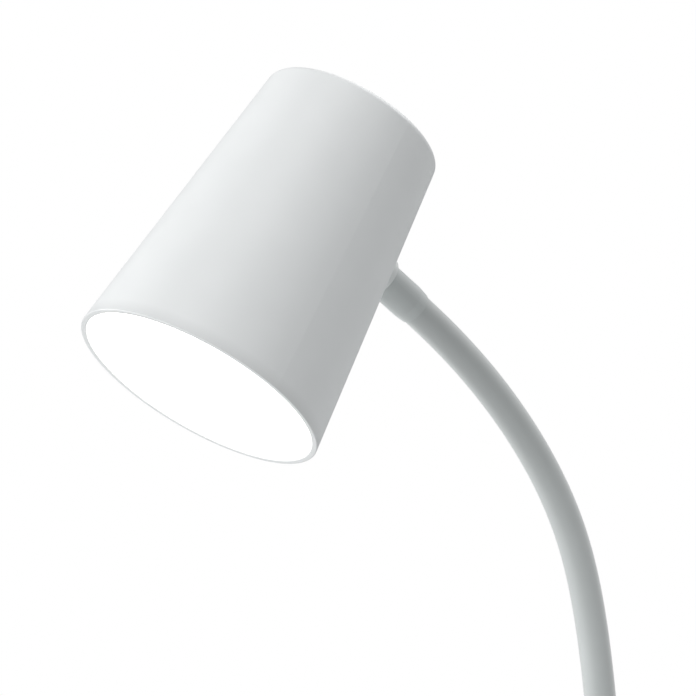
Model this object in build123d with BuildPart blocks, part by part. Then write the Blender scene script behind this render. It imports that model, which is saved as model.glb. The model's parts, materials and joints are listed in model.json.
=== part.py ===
from build123d import *
from math import cos, radians, sin
import os

# A clip-on reading lamp. A sprung clip grips the edge of a board, a flexible arm rises from the
# clip, and a conical shade with a disc of light in its mouth hangs from the arm's far end.
#
# Frame: +Z is up, the lamp reaches forward along -Y, and X = 0 is its plane of symmetry. The
# origin is the middle of the upper pad's grip face, where the board's top surface lies.
# Lengths are in millimetres and angles in degrees.

os.makedirs("parts", exist_ok=True)

BASE = (Align.CENTER, Align.CENTER, Align.MIN)
RUNNING_CLEARANCE = 0.05
SOCKET_CLEARANCE = 0.05

# ---- Driving dimensions: the shade, measured along its axis from the rim ----
SHADE_LENGTH = 86.9
RIM_RADIUS = 35.0
CROWN_RADIUS = 25.4
CROWN_FILLET = 2.0
SHADE_WALL = 1.6
RIM_EDGE_FILLET = 0.35
SHADE_TAPER = (RIM_RADIUS - CROWN_RADIUS) / SHADE_LENGTH

# ---- Driving dimensions: the arm, measured from the clip's socket up ----
ARM_JOINTS = 8
HALF_PITCH = 17.0  # half the distance between two joints
ARM_LENGTH = 2 * ARM_JOINTS * HALF_PITCH
ARM_TURNS = (0, 0, 0.6, 1.0, 1.4, 1.5, 1.2, 0.9, 2.8, 4.9, 8.0, 10.6, 7.0, 5.1, 6.0, 3.5)
SHADE_TILT = 90 - sum(ARM_TURNS)  # the shade stands square to the arm's end
ARM_BASE = Vector(0, 20, 39)
SLEEVE_RADIUS = 4.5
SLEEVE_GAP = 1.45  # each sleeve stretch ends this far short of a joint, which leaves room to bend
CORE_RADIUS = 3.0
CORE_BORE = 1.8
CORE_FOOT = 2.0  # a core's dish ends this far above its joint
BALL_RADIUS = 3.2
DISH_RADIUS = 3.3
CABLE_RADIUS = 1.7
CABLE_TOP = 2.7  # a cable stretch ends inside the ball, this far above its joint
CABLE_FOOT = 3.6  # the next one starts beyond the ball
SLEEVE_TUCK = 6.0  # how far the sleeve goes into the fitting at each end
CORE_TUCK = 8.0

# ---- Driving dimensions: the clip ----
CLIP_WIDTH = 46.0
CLIP_FRONT = -24.0
CLIP_REAR = 60.0
CLIP_CORNER = 14.0
CLIP_MIDDLE = (CLIP_FRONT + CLIP_REAR) / 2
CLIP_LENGTH = CLIP_REAR - CLIP_FRONT
HOUSING_TOP = 25.0
HOUSING_FOOT = 4.6
HOUSING_WALL = 2.2
PLATE_FOOT = 2.0
PAD_GAP = 5.0  # the thinnest board the pads can grip
PAD_LENGTH = 34.0
PAD_WIDTH = 28.0
PAD_MIDDLE = 0.0
PAD_CORNER = 6.0
PAD_RECESS = 0.6
PAD_THICKNESS = PLATE_FOOT + PAD_RECESS
PIN_Y, PIN_Z = 34.0, -3.2
PIN_RADIUS = 2.0
LUG_RADIUS = 5.4
LUG_INNER, LUG_OUTER = 12.0, 15.5


def save(piece, label):
    """Labels a finished part and writes it as its own STEP file."""
    piece.label = label
    export_step(piece, f"parts/{label}.step")


def section_of(plane):
    """The plane through a turned part's axis: local x is the radius, local y the height."""
    return Plane(plane.origin, x_dir=plane.x_dir, z_dir=-plane.y_dir)


def clip_plane(height):
    """A level plane over the middle of the clip's outline."""
    return Plane((0, CLIP_MIDDLE, height))


# ---- The arm's line: short arcs end to end, straight at the clip and leaning forward above ----
def arm_step(start, lean, length, turn):
    """The point and lean after an arc of this length and turn, from a point with that lean."""
    middle = radians(lean + turn / 2)
    half = radians(turn / 2)
    chord = length * (sin(half) / half if half else 1.0)
    return start + Vector(0, -sin(middle), cos(middle)) * chord, lean + turn


def arm_at(distance):
    """The point on the arm's line this far up from the socket, and the lean of the line there."""
    point, lean = ARM_BASE, 0.0
    if distance <= 0:
        return point + Vector(0, 0, distance), lean
    for turn in ARM_TURNS:
        length = min(distance, HALF_PITCH)
        point, lean = arm_step(point, lean, length, turn * length / HALF_PITCH)
        distance -= length
        if distance <= 0:
            return point, lean
    return arm_step(point, lean, distance, 0)


def arm_direction(distance):
    """The direction the arm's line runs in there, going up."""
    lean = radians(arm_at(distance)[1])
    return Vector(0, -sin(lean), cos(lean))


def arm_plane(distance):
    """The plane across the arm's line there, with its normal pointing up the arm."""
    return Plane(arm_at(distance)[0], x_dir=(1, 0, 0), z_dir=arm_direction(distance))


def arm_rod(low, high, radius, bore=0):
    """A round rod, or a tube if it has a bore, that follows the arm's line between two distances."""
    knots = [i * HALF_PITCH for i in range(2 * ARM_JOINTS + 1)]
    stops = [low] + [k for k in knots if low + 0.01 < k < high - 0.01] + [high]
    with BuildPart() as rod:
        with BuildLine() as line:
            for foot, head in zip(stops, stops[1:]):
                start, lean = arm_at(foot)
                end, next_lean = arm_at(head)
                if abs(next_lean - lean) < 0.001:
                    Line(start, end)
                else:
                    TangentArc(start, end, tangent=arm_direction(foot))
        with BuildSketch(arm_plane(low)):
            Circle(radius)
            if bore:
                Circle(bore, mode=Mode.SUBTRACT)
        sweep(path=line.line)
    return rod.part


def joint_distance(number):
    """How far up the arm joint 1, 2, ... lies."""
    return (2 * number - 1) * HALF_PITCH


# ---- Planes of the head: the shade's own, and the swivel's, whose axis meets the shade's ----
SWIVEL_HEIGHT = 58.8  # along the shade's axis from the rim
FERRULE_FOOT = 45.6  # from the shade's axis, along the swivel's, to where the sleeve goes in
OUTWARD = -arm_direction(ARM_LENGTH)
SHADE_AXIS = Vector(0, sin(radians(SHADE_TILT)), cos(radians(SHADE_TILT)))
SWIVEL_ORIGIN = arm_at(ARM_LENGTH)[0] - OUTWARD * FERRULE_FOOT
SWIVEL = Plane(SWIVEL_ORIGIN, x_dir=(1, 0, 0), z_dir=OUTWARD)
HEAD = Plane(SWIVEL_ORIGIN - SHADE_AXIS * SWIVEL_HEIGHT, x_dir=(1, 0, 0), z_dir=SHADE_AXIS)
HEAD_AXIS = Axis(HEAD.origin, HEAD.z_dir)


def at_posts():
    """The places of the shade's screw posts around its axis."""
    return PolarLocations(POST_CIRCLE, POST_COUNT, start_angle=POST_START)


def shade_radius(height):
    """The shade's outer radius at a height above the rim."""
    return RIM_RADIUS - SHADE_TAPER * height


# ==== The shade ====
POST_CIRCLE = 14.0
POST_RADIUS = 3.5
POST_FOOT = 36.8
POST_COUNT = 3
POST_START = 30
PILOT_RADIUS = 1.2
PILOT_DEPTH = 10.0
BOSS_RADIUS = 8.0
BOSS_FACE = 24.0  # from the shade's axis
SPIGOT_RADIUS = 5.5

with BuildPart() as shade_form:  # the solid form that the shade is hollowed from
    with BuildSketch(section_of(HEAD)) as outline:
        with BuildLine():
            Polyline(
                (0, 0),
                (RIM_RADIUS, 0),
                (CROWN_RADIUS, SHADE_LENGTH),
                (0, SHADE_LENGTH),
                close=True,
            )
        make_face()
        fillet(outline.vertices().sort_by(HEAD_AXIS)[-2:].sort_by(Axis.X)[-1], CROWN_FILLET)
    revolve(axis=HEAD_AXIS)

with BuildPart() as swivel_boss:  # a flat seat for the collar's nut, inside the shade's wall
    with BuildSketch(SWIVEL.offset(BOSS_FACE)):
        Circle(BOSS_RADIUS)
    extrude(amount=shade_radius(SWIVEL_HEIGHT) - BOSS_FACE)
    add(shade_form.part, mode=Mode.INTERSECT)

with BuildPart() as shade:
    add(shade_form.part)
    offset(amount=-SHADE_WALL, openings=shade.faces().sort_by(HEAD_AXIS)[0])
    rim = shade.faces().sort_by(HEAD_AXIS)[0]
    fillet(rim.edges(), RIM_EDGE_FILLET)
    with BuildSketch(HEAD.offset(POST_FOOT)):
        with at_posts():
            Circle(POST_RADIUS)
    extrude(amount=SHADE_LENGTH - SHADE_WALL / 2 - POST_FOOT)
    with BuildSketch(HEAD.offset(POST_FOOT)):
        with at_posts():
            Circle(PILOT_RADIUS)
    extrude(amount=PILOT_DEPTH, mode=Mode.SUBTRACT)
    add(swivel_boss.part)
    with BuildSketch(SWIVEL.offset(BOSS_FACE - 1)):
        Circle(SPIGOT_RADIUS + RUNNING_CLEARANCE)
    extrude(amount=RIM_RADIUS, mode=Mode.SUBTRACT)
save(shade.part, "shade")


# ==== The light: a diffuser in the mouth, a reflector behind it, then the board and heat sink ====
DIFFUSER_RECESS = 6.5  # the diffuser's edge, above the rim
DIFFUSER_DOME = 1.2
DIFFUSER_SKIN = 1.8
DIFFUSER_SKIRT = 3.7
DIFFUSER_SKIRT_WALL = 1.3
LIGHT_CLEARANCE = 0.15  # between the shade's wall and what slides into it
LIP_HEIGHT = DIFFUSER_RECESS + DIFFUSER_SKIRT + 0.1
LIP_WIDTH = 1.8
REFLECTOR_THROAT = 17.5
REFLECTOR_WALL = 1.5
BOARD_FOOT = 32.0
BOARD_THICKNESS = 1.6
BOARD_RADIUS = 20.5
CHIP_SIZE = (2.8, 3.5, 0.8)
CHIP_CIRCLE = 8.0
CHIP_COUNT = 8
SINK_RADIUS = 22.0
SINK_BASE = 3.0
SINK_HEIGHT = 12.0
SINK_BORE = 3.5
FIN_COUNT = 9
FIN_THICKNESS = 1.5
FIN_INNER = 7.0
FIN_START = 50
SCREW_HOLE = 1.6
SCREW_HEAD_RADIUS = 2.7
SCREW_HEAD_HEIGHT = 1.7
SCREW_LENGTH = 12.0
SCREW_SHANK = PILOT_RADIUS - 0.05
CROSS_WIDTH = 0.8
CROSS_DEPTH = 0.9


def wall_radius(height):
    """The radius of the shade's inner wall at a height above the rim, less a clearance."""
    return shade_radius(height) - SHADE_WALL - LIGHT_CLEARANCE


with BuildPart() as diffuser:
    skirt_top = DIFFUSER_RECESS + DIFFUSER_SKIRT
    with BuildSketch(section_of(HEAD)):
        with BuildLine():
            edge = (wall_radius(DIFFUSER_RECESS), DIFFUSER_RECESS)
            inner_edge = (edge[0] - DIFFUSER_SKIRT_WALL, DIFFUSER_RECESS + DIFFUSER_SKIN)
            RadiusArc((0, DIFFUSER_RECESS - DIFFUSER_DOME), edge, 430)
            Polyline(
                edge,
                (wall_radius(skirt_top), skirt_top),
                (wall_radius(skirt_top) - DIFFUSER_SKIRT_WALL, skirt_top),
                inner_edge,
            )
            Line(inner_edge, (0, DIFFUSER_RECESS - DIFFUSER_DOME + DIFFUSER_SKIN))
            Line(
                (0, DIFFUSER_RECESS - DIFFUSER_DOME + DIFFUSER_SKIN),
                (0, DIFFUSER_RECESS - DIFFUSER_DOME),
            )
        make_face()
    revolve(axis=HEAD_AXIS)
save(diffuser.part, "diffuser")

with BuildPart() as reflector:
    with BuildSketch(section_of(HEAD)):
        with BuildLine():
            lip_top = LIP_HEIGHT + REFLECTOR_WALL
            Polyline(
                (wall_radius(LIP_HEIGHT), LIP_HEIGHT),
                (wall_radius(LIP_HEIGHT) - LIP_WIDTH, LIP_HEIGHT),
                (REFLECTOR_THROAT, BOARD_FOOT),
                (REFLECTOR_THROAT + REFLECTOR_WALL, BOARD_FOOT),
                (wall_radius(lip_top) - LIP_WIDTH / 3, lip_top),
                (wall_radius(lip_top), lip_top),
                close=True,
            )
        make_face()
    revolve(axis=HEAD_AXIS)
save(reflector.part, "reflector")

with BuildPart() as led_board:
    with BuildSketch(HEAD.offset(BOARD_FOOT)):
        Circle(BOARD_RADIUS)
        with at_posts():
            Circle(SCREW_HOLE, mode=Mode.SUBTRACT)
    extrude(amount=BOARD_THICKNESS)
save(led_board.part, "led_board")

with BuildPart() as led_chips:
    with BuildSketch(HEAD.offset(BOARD_FOOT - CHIP_SIZE[2])):
        Rectangle(CHIP_SIZE[0], CHIP_SIZE[1])
        with PolarLocations(CHIP_CIRCLE, CHIP_COUNT):
            Rectangle(CHIP_SIZE[0], CHIP_SIZE[1])
    extrude(amount=CHIP_SIZE[2])
save(led_chips.part, "led_chips")

SINK_FOOT = BOARD_FOOT + BOARD_THICKNESS

with BuildPart() as heat_sink:
    with BuildSketch(HEAD.offset(SINK_FOOT)):
        Circle(SINK_RADIUS)
    extrude(amount=SINK_BASE)
    with BuildSketch(HEAD.offset(SINK_FOOT)):
        with PolarLocations((FIN_INNER + SINK_RADIUS) / 2, FIN_COUNT, start_angle=FIN_START):
            Rectangle(SINK_RADIUS - FIN_INNER - 1, FIN_THICKNESS)
    extrude(amount=SINK_HEIGHT)
    with BuildSketch(HEAD.offset(SINK_FOOT)):
        Circle(SINK_BORE)
        with at_posts():
            Circle(SCREW_HOLE)
    extrude(amount=SINK_BASE, mode=Mode.SUBTRACT)
save(heat_sink.part, "heat_sink")

with BuildPart() as head_screws:
    with BuildSketch(HEAD.offset(BOARD_FOOT)):
        with at_posts():
            Circle(SCREW_SHANK)
    extrude(amount=SCREW_LENGTH)
    with BuildSketch(HEAD.offset(BOARD_FOOT)):
        with at_posts():
            Circle(SCREW_HEAD_RADIUS)
    extrude(amount=-SCREW_HEAD_HEIGHT)
    heads = head_screws.faces().group_by(HEAD_AXIS)[0]
    fillet(heads.edges(), SCREW_HEAD_HEIGHT / 3)
    with BuildSketch(HEAD.offset(BOARD_FOOT - SCREW_HEAD_HEIGHT)):
        with at_posts():
            Rectangle(SCREW_HEAD_RADIUS, CROSS_WIDTH)
            Rectangle(CROSS_WIDTH, SCREW_HEAD_RADIUS)
    extrude(amount=CROSS_DEPTH, mode=Mode.SUBTRACT)
save(head_screws.part, "head_screws")


# ==== The swivel: the arm's ferrule turns in a collar that a nut holds in the shade's wall ====
COLLAR_RADIUS = 6.1
COLLAR_FACE = 31.9
COLLAR_EDGE = 0.3
SPIGOT_END = 20.45
COLLAR_NUT_HEIGHT = 3.0
COLLAR_NUT_RADIUS = 8.2
STUB_RADIUS = 4.0
STUB_END = 16.5
FERRULE_RADIUS = 5.1
FERRULE_SHOULDER = COLLAR_FACE + RUNNING_CLEARANCE
FERRULE_TAPER = 3.0  # the length of its slender end
FERRULE_LIP = 0.3  # how far that end stands proud of the sleeve
WASHER_RADIUS = 6.2
WASHER_FOOT = 19.6
WASHER_THICKNESS = 0.8
SWIVEL_NUT_FOOT = 17.0
SWIVEL_NUT_RADIUS = 6.6
CABLE_HOLE = 1.9
LEAD_RADIUS = 0.65
LEAD_SPREAD = 0.75
LEAD_BEND = 8.0
LEAD_START = 16.8

with BuildPart() as swivel_collar:
    with BuildSketch(SWIVEL.offset(BOSS_FACE + 2)):
        Circle(COLLAR_RADIUS)
    extrude(amount=COLLAR_FACE - BOSS_FACE - 2)
    fillet(swivel_collar.faces().sort_by(Axis(SWIVEL.origin, OUTWARD))[-1].edges(), COLLAR_EDGE)
    add(shade_form.part, mode=Mode.SUBTRACT)
    with BuildSketch(SWIVEL.offset(SPIGOT_END)):
        Circle(SPIGOT_RADIUS)
    extrude(amount=COLLAR_FACE - SPIGOT_END - 1)
    with BuildSketch(SWIVEL.offset(SPIGOT_END)):
        Circle(STUB_RADIUS + RUNNING_CLEARANCE)
    extrude(amount=COLLAR_FACE - SPIGOT_END, mode=Mode.SUBTRACT)
save(swivel_collar.part, "swivel_collar")

with BuildPart() as collar_nut:
    with BuildSketch(SWIVEL.offset(BOSS_FACE - COLLAR_NUT_HEIGHT)):
        RegularPolygon(COLLAR_NUT_RADIUS, 6)
        Circle(SPIGOT_RADIUS, mode=Mode.SUBTRACT)
    extrude(amount=COLLAR_NUT_HEIGHT)
save(collar_nut.part, "collar_nut")

with BuildPart() as swivel_washer:
    with BuildSketch(SWIVEL.offset(WASHER_FOOT)):
        Circle(WASHER_RADIUS)
        Circle(STUB_RADIUS, mode=Mode.SUBTRACT)
    extrude(amount=WASHER_THICKNESS)
save(swivel_washer.part, "swivel_washer")

with BuildPart() as swivel_nut:
    with BuildSketch(SWIVEL.offset(SWIVEL_NUT_FOOT)):
        RegularPolygon(SWIVEL_NUT_RADIUS, 6)
        Circle(STUB_RADIUS, mode=Mode.SUBTRACT)
    extrude(amount=WASHER_FOOT - SWIVEL_NUT_FOOT)
save(swivel_nut.part, "swivel_nut")

with BuildPart() as top_ferrule:
    with BuildSketch(section_of(SWIVEL)):
        sleeve_seat = FERRULE_FOOT - SLEEVE_TUCK
        core_seat = FERRULE_FOOT - CORE_TUCK
        with BuildLine():
            Polyline(
                (CABLE_HOLE, STUB_END),
                (STUB_RADIUS, STUB_END),
                (STUB_RADIUS, FERRULE_SHOULDER),
                (FERRULE_RADIUS, FERRULE_SHOULDER),
                (FERRULE_RADIUS, FERRULE_FOOT - FERRULE_TAPER),
                (SLEEVE_RADIUS + FERRULE_LIP, FERRULE_FOOT),
                (SLEEVE_RADIUS + SOCKET_CLEARANCE, FERRULE_FOOT),
                (SLEEVE_RADIUS + SOCKET_CLEARANCE, sleeve_seat),
                (CORE_RADIUS + SOCKET_CLEARANCE, sleeve_seat),
                (CORE_RADIUS + SOCKET_CLEARANCE, core_seat),
                (CABLE_HOLE, core_seat),
                close=True,
            )
        make_face()
    revolve(axis=Axis(SWIVEL.origin, OUTWARD))
save(top_ferrule.part, "top_ferrule")


def twin_lead(plane, route, bend, label):
    """A pair of wires side by side along a route of (x, y) points on a plane, saved as one node."""
    wires = []
    for side in (-1, 1):
        beside = plane.offset(side * LEAD_SPREAD)
        with BuildPart() as wire:
            with BuildLine(beside) as line:
                FilletPolyline(*route, radius=bend)
            with BuildSketch(Plane(line.line @ 0, z_dir=line.line % 0)):
                Circle(LEAD_RADIUS)
            sweep(path=line.line)
        wires.append(wire.part)
    with BuildPart() as lead:
        add(wires)
    save(lead.part, label)


HEAD_SIDE = Plane(HEAD.origin, x_dir=HEAD.y_dir, z_dir=HEAD.x_dir)
twin_lead(
    HEAD_SIDE,
    [(LEAD_START, SWIVEL_HEIGHT), (0, SWIVEL_HEIGHT), (0, SINK_FOOT)],
    LEAD_BEND,
    "led_lead",
)


# ==== The arm: nine stretches, each a soft sleeve over a core with a ball and a dish, on a cable ====
SLEEVE_BORE = CORE_RADIUS + SOCKET_CLEARANCE
CABLE_END = FERRULE_FOOT - STUB_END - 0.5  # how far the cable runs on through the ferrule
CABLE_ROOT = 22.0  # how far it runs on down into the clip

for number in range(ARM_JOINTS + 1):
    is_first = number == 0
    is_last = number == ARM_JOINTS
    low_joint = joint_distance(number)
    high_joint = joint_distance(number + 1)

    sleeve_low = -SLEEVE_TUCK if is_first else low_joint + SLEEVE_GAP
    sleeve_high = ARM_LENGTH + SLEEVE_TUCK if is_last else high_joint - SLEEVE_GAP
    with BuildPart() as sleeve:
        add(arm_rod(sleeve_low, sleeve_high, SLEEVE_RADIUS, SLEEVE_BORE))
    save(sleeve.part, f"sleeve_{number}")

    core_low = -CORE_TUCK if is_first else low_joint + CORE_FOOT
    core_high = ARM_LENGTH + CORE_TUCK if is_last else high_joint
    with BuildPart() as core:
        add(arm_rod(core_low, core_high, CORE_RADIUS))
        if not is_last:
            with Locations(arm_at(high_joint)[0]):
                Sphere(BALL_RADIUS)
        if not is_first:
            with Locations(arm_at(low_joint)[0]):
                Sphere(DISH_RADIUS, mode=Mode.SUBTRACT)
        add(arm_rod(core_low - 1, core_high + BALL_RADIUS + 1, CORE_BORE), mode=Mode.SUBTRACT)
    save(core.part, f"core_{number}")

    cable_low = -CABLE_ROOT if is_first else low_joint + CABLE_FOOT
    cable_high = ARM_LENGTH + CABLE_END if is_last else high_joint + CABLE_TOP
    with BuildPart() as cable:
        add(arm_rod(cable_low, cable_high, CABLE_RADIUS))
    save(cable.part, f"cable_{number}")


# ==== The clip's housing and base ====
BOSS_X = 17.8
BOSS_Y = (-8.0, 44.0)
HOUSING_BOSS_RADIUS = 3.2
HOUSING_FILLET = 4.0
HOUSING_CEILING = HOUSING_TOP - HOUSING_WALL
BASE_SCREW_LENGTH = 11.0
HEAD_SINK_DEPTH = 1.8
HEAD_SINK_RADIUS = 2.9
BUTTON_Y = -6.0
BUTTON_RADIUS = 7.9
BUTTON_CLEARANCE = 0.1
INDICATOR_Y = 7.5
INDICATOR_RADIUS = 1.2
SOCKET_STUB_RADIUS = 5.0
GROOVE_LENGTH, GROOVE_WIDTH, GROOVE_DEPTH = 30.0, 1.6, 0.6
GROOVE_PITCH, GROOVE_COUNT, GROOVE_MIDDLE = 4.0, 5, 45.0
PORT_Z = 12.4
PORT_WIDTH, PORT_HEIGHT = 9.6, 3.9
BOARD_Z = 9.0
STANDOFF_X = 10.5
STANDOFF_Y = (-10.0, 48.0)
STANDOFF_RADIUS = 2.8
STANDOFF_PILOT = 1.0
STANDOFF_PILOT_DEPTH = 4.0
ARM_Y = ARM_BASE.Y


def boss_places():
    """The places of the four screws that hold the base to the housing."""
    return [(side * BOSS_X, y) for side in (-1, 1) for y in BOSS_Y]


def standoff_places():
    """The places of the four screws that hold the driver board to the base."""
    return [(side * STANDOFF_X, y) for side in (-1, 1) for y in STANDOFF_Y]


with BuildPart() as clip_housing:
    with BuildSketch(clip_plane(HOUSING_FOOT)):
        RectangleRounded(CLIP_WIDTH, CLIP_LENGTH, CLIP_CORNER)
    extrude(amount=HOUSING_TOP - HOUSING_FOOT)
    fillet(clip_housing.faces().sort_by(Axis.Z)[-1].edges(), HOUSING_FILLET)
    offset(amount=-HOUSING_WALL, openings=clip_housing.faces().sort_by(Axis.Z)[0])
    with BuildSketch(Plane.XY.offset(HOUSING_FOOT)):
        with Locations(*boss_places()):
            Circle(HOUSING_BOSS_RADIUS)
    extrude(amount=HOUSING_CEILING + HOUSING_WALL / 2 - HOUSING_FOOT)
    with BuildSketch(Plane.XY.offset(HOUSING_FOOT)):
        with Locations(*boss_places()):
            Circle(PILOT_RADIUS)
    extrude(amount=BASE_SCREW_LENGTH, mode=Mode.SUBTRACT)
    with BuildSketch(Plane.XY.offset(HOUSING_CEILING - 1)):
        with Locations((0, BUTTON_Y)):
            Circle(BUTTON_RADIUS + BUTTON_CLEARANCE)
        with Locations((0, INDICATOR_Y)):
            Circle(INDICATOR_RADIUS + SOCKET_CLEARANCE)
        with Locations((0, ARM_Y)):
            Circle(SOCKET_STUB_RADIUS + SOCKET_CLEARANCE)
    extrude(amount=HOUSING_WALL + 2, mode=Mode.SUBTRACT)
    with BuildSketch(Plane.XY.offset(HOUSING_TOP - GROOVE_DEPTH)):
        with Locations((0, GROOVE_MIDDLE)):
            with GridLocations(1, GROOVE_PITCH, 1, GROOVE_COUNT):
                SlotOverall(GROOVE_LENGTH, GROOVE_WIDTH)
    extrude(amount=GROOVE_DEPTH + 1, mode=Mode.SUBTRACT)
    with BuildSketch(Plane((0, CLIP_REAR + 1, PORT_Z), x_dir=(1, 0, 0), z_dir=(0, -1, 0))):
        SlotOverall(PORT_WIDTH, PORT_HEIGHT)
    extrude(amount=HOUSING_WALL + 2, mode=Mode.SUBTRACT)
save(clip_housing.part, "clip_housing")

with BuildPart() as clip_base:
    with BuildSketch(clip_plane(PLATE_FOOT)):
        RectangleRounded(CLIP_WIDTH, CLIP_LENGTH, CLIP_CORNER)
    extrude(amount=HOUSING_FOOT - PLATE_FOOT)
    chamfer(clip_base.faces().sort_by(Axis.Z)[0].edges(), PAD_RECESS)
    with BuildSketch(Plane.XY.offset(PLATE_FOOT)):
        with Locations((0, PAD_MIDDLE)):
            RectangleRounded(PAD_WIDTH, PAD_LENGTH, PAD_CORNER)
    extrude(amount=PAD_RECESS, mode=Mode.SUBTRACT)
    for side in (-1, 1):
        lug_face = LUG_INNER if side > 0 else -LUG_OUTER
        with BuildSketch(Plane.YZ.offset(lug_face)):
            with Locations((PIN_Y, PIN_Z)):
                Circle(LUG_RADIUS)
                Rectangle(
                    2 * LUG_RADIUS,
                    PLATE_FOOT - PIN_Z + 1,
                    align=(Align.CENTER, Align.MIN),
                )
                Circle(PIN_RADIUS, mode=Mode.SUBTRACT)
        extrude(amount=LUG_OUTER - LUG_INNER)
    with BuildSketch(Plane.XY.offset(HOUSING_FOOT)):
        with Locations(*standoff_places()):
            Circle(STANDOFF_RADIUS)
    extrude(amount=BOARD_Z - HOUSING_FOOT)
    with BuildSketch(Plane.XY.offset(BOARD_Z)):
        with Locations(*standoff_places()):
            Circle(STANDOFF_PILOT)
    extrude(amount=-STANDOFF_PILOT_DEPTH, mode=Mode.SUBTRACT)
    with BuildSketch(Plane.XY.offset(PLATE_FOOT)):
        with Locations(*boss_places()):
            Circle(SCREW_HOLE)
    extrude(amount=HOUSING_FOOT - PLATE_FOOT, mode=Mode.SUBTRACT)
    with BuildSketch(Plane.XY.offset(PLATE_FOOT)):
        with Locations(*boss_places()):
            Circle(HEAD_SINK_RADIUS)
    extrude(amount=HEAD_SINK_DEPTH, mode=Mode.SUBTRACT)
save(clip_base.part, "clip_base")

with BuildPart() as base_screws:
    with BuildSketch(Plane.XY.offset(PLATE_FOOT + HEAD_SINK_DEPTH)):
        with Locations(*boss_places()):
            Circle(SCREW_SHANK)
    extrude(amount=BASE_SCREW_LENGTH - 1)
    with BuildSketch(Plane.XY.offset(PLATE_FOOT + HEAD_SINK_DEPTH)):
        with Locations(*boss_places()):
            Circle(SCREW_HEAD_RADIUS)
    extrude(amount=-SCREW_HEAD_HEIGHT)
    with BuildSketch(Plane.XY.offset(PLATE_FOOT + HEAD_SINK_DEPTH - SCREW_HEAD_HEIGHT)):
        with Locations(*boss_places()):
            Rectangle(SCREW_HEAD_RADIUS, CROSS_WIDTH)
            Rectangle(CROSS_WIDTH, SCREW_HEAD_RADIUS)
    extrude(amount=CROSS_DEPTH, mode=Mode.SUBTRACT)
save(base_screws.part, "base_screws")


def grip_pad(face, thickness, label):
    """A soft grip pad with rounded corners, from its grip face up or down by its thickness."""
    with BuildPart() as pad:
        with BuildSketch(Plane.XY.offset(face)):
            with Locations((0, PAD_MIDDLE)):
                RectangleRounded(PAD_WIDTH, PAD_LENGTH, PAD_CORNER)
        extrude(amount=thickness)
    save(pad.part, label)


grip_pad(0, PAD_THICKNESS, "upper_pad")
grip_pad(-PAD_GAP, -PAD_THICKNESS, "lower_pad")


# ==== The arm's socket on the clip ====
SOCKET_FLANGE_RADIUS = 9.0
SOCKET_FLANGE = 2.0
SOCKET_NECK_RADIUS = 5.6
SOCKET_EDGE = 0.6
SOCKET_STUB_FOOT = 16.5
ARM_NUT_HEIGHT = 3.0
ARM_NUT_RADIUS = 8.0

with BuildPart() as arm_socket:
    with BuildSketch(section_of(Plane(Vector(0, ARM_Y, 0)))):
        top = ARM_BASE.Z
        with BuildLine():
            Polyline(
                (CABLE_HOLE, SOCKET_STUB_FOOT),
                (SOCKET_STUB_RADIUS, SOCKET_STUB_FOOT),
                (SOCKET_STUB_RADIUS, HOUSING_TOP),
                (SOCKET_FLANGE_RADIUS, HOUSING_TOP),
                (SOCKET_FLANGE_RADIUS, HOUSING_TOP + SOCKET_FLANGE / 2),
                (SOCKET_FLANGE_RADIUS - SOCKET_FLANGE / 2, HOUSING_TOP + SOCKET_FLANGE),
                (SOCKET_NECK_RADIUS + 1, HOUSING_TOP + 2 * SOCKET_FLANGE),
                (SOCKET_NECK_RADIUS, top - SOCKET_EDGE),
                (SOCKET_NECK_RADIUS - SOCKET_EDGE / 2, top),
                (SLEEVE_RADIUS + SOCKET_CLEARANCE, top),
                (SLEEVE_RADIUS + SOCKET_CLEARANCE, top - SLEEVE_TUCK),
                (CORE_RADIUS + SOCKET_CLEARANCE, top - SLEEVE_TUCK),
                (CORE_RADIUS + SOCKET_CLEARANCE, top - CORE_TUCK),
                (CABLE_HOLE, top - CORE_TUCK),
                close=True,
            )
        make_face()
    revolve(axis=Axis((0, ARM_Y, 0), (0, 0, 1)))
save(arm_socket.part, "arm_socket")

with BuildPart() as arm_nut:
    with BuildSketch(Plane((0, ARM_Y, HOUSING_CEILING - ARM_NUT_HEIGHT))):
        RegularPolygon(ARM_NUT_RADIUS, 6)
        Circle(SOCKET_STUB_RADIUS, mode=Mode.SUBTRACT)
    extrude(amount=ARM_NUT_HEIGHT)
save(arm_nut.part, "arm_nut")


# ==== The driver board and what stands on it ====
DRIVER_X = 14.2
DRIVER_Y = (-14.0, 55.0)
DRIVER_THICKNESS = 1.6
DRIVER_CORNER = 3.0
DRIVER_TOP = BOARD_Z + DRIVER_THICKNESS
DRIVER_SCREW_HOLE = 1.3
DRIVER_SHANK = 0.95
DRIVER_HEAD_RADIUS = 2.1
DRIVER_HEAD_HEIGHT = 1.3
SWITCH_SIZE = (6.0, 6.0, 3.5)
PLUNGER_RADIUS = 1.7
PLUNGER_TOP = 15.6
INDUCTOR_PLACE, INDUCTOR_RADIUS, INDUCTOR_HEIGHT = (-8.0, 33.0), 3.6, 4.4
CAPACITOR_PLACES, CAPACITOR_RADIUS, CAPACITOR_HEIGHT = ((8.6, 28.0), (8.6, 36.0)), 2.6, 6.0
CHIP_PLACE, DRIVER_CHIP = (0.0, 36.0), (5.0, 6.2, 1.5)
SMALL_PLACES = ((-9.0, 3.0), (-9.0, 6.0), (9.0, 3.0), (9.0, 6.0), (-4.0, 43.0), (4.0, 43.0))
SMALL_SIZE = (2.0, 1.2, 0.8)

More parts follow.
